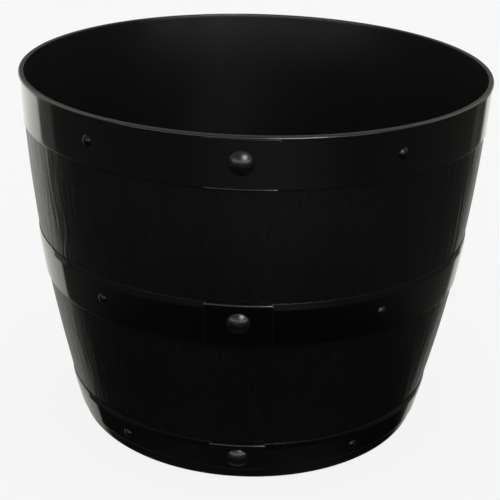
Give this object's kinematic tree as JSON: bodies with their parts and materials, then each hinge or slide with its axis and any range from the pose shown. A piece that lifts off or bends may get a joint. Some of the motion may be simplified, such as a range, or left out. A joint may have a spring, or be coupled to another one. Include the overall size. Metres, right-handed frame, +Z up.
{
  "type": "florist bucket",
  "caption": "Round tapered half-barrel florist bucket, open at the top, with a closed floor on a foot ring and riveted hoops round its bulging side, for holding cut flowers or a planting.",
  "frame": {"origin": "centre of the foot ring's flat face, on the bucket's axis, where it meets the ground", "axes": "+Z up along the bucket's axis towards the open rim, -Y towards the hoop joints with the large rivets, +X to the right when the joints are seen from the front"},
  "size_m": [0.3814, 0.3867, 0.3],
  "materials": {
    "tub_plastic": "near-black moulded polypropylene, satin with a fine upright wood grain outside, smooth inside",
    "hoop_plastic": "near-black, smooth and glossy",
    "rivet_plastic": "near-black, polished round heads"
  },
  "bodies": {
    "root": {"bucket_shell": "tub_plastic", "top_hoop": "hoop_plastic", "top_joint_plate": "hoop_plastic", "top_joint_rivet": "rivet_plastic", "top_hoop_rivets": "rivet_plastic", "middle_hoop": "hoop_plastic", "middle_joint_plate": "hoop_plastic", "middle_joint_rivet": "rivet_plastic", "middle_hoop_rivets": "rivet_plastic", "bottom_hoop": "hoop_plastic", "bottom_joint_plate": "hoop_plastic", "bottom_joint_rivet": "rivet_plastic", "bottom_hoop_rivets": "rivet_plastic"}
  },
  "joints": []
}
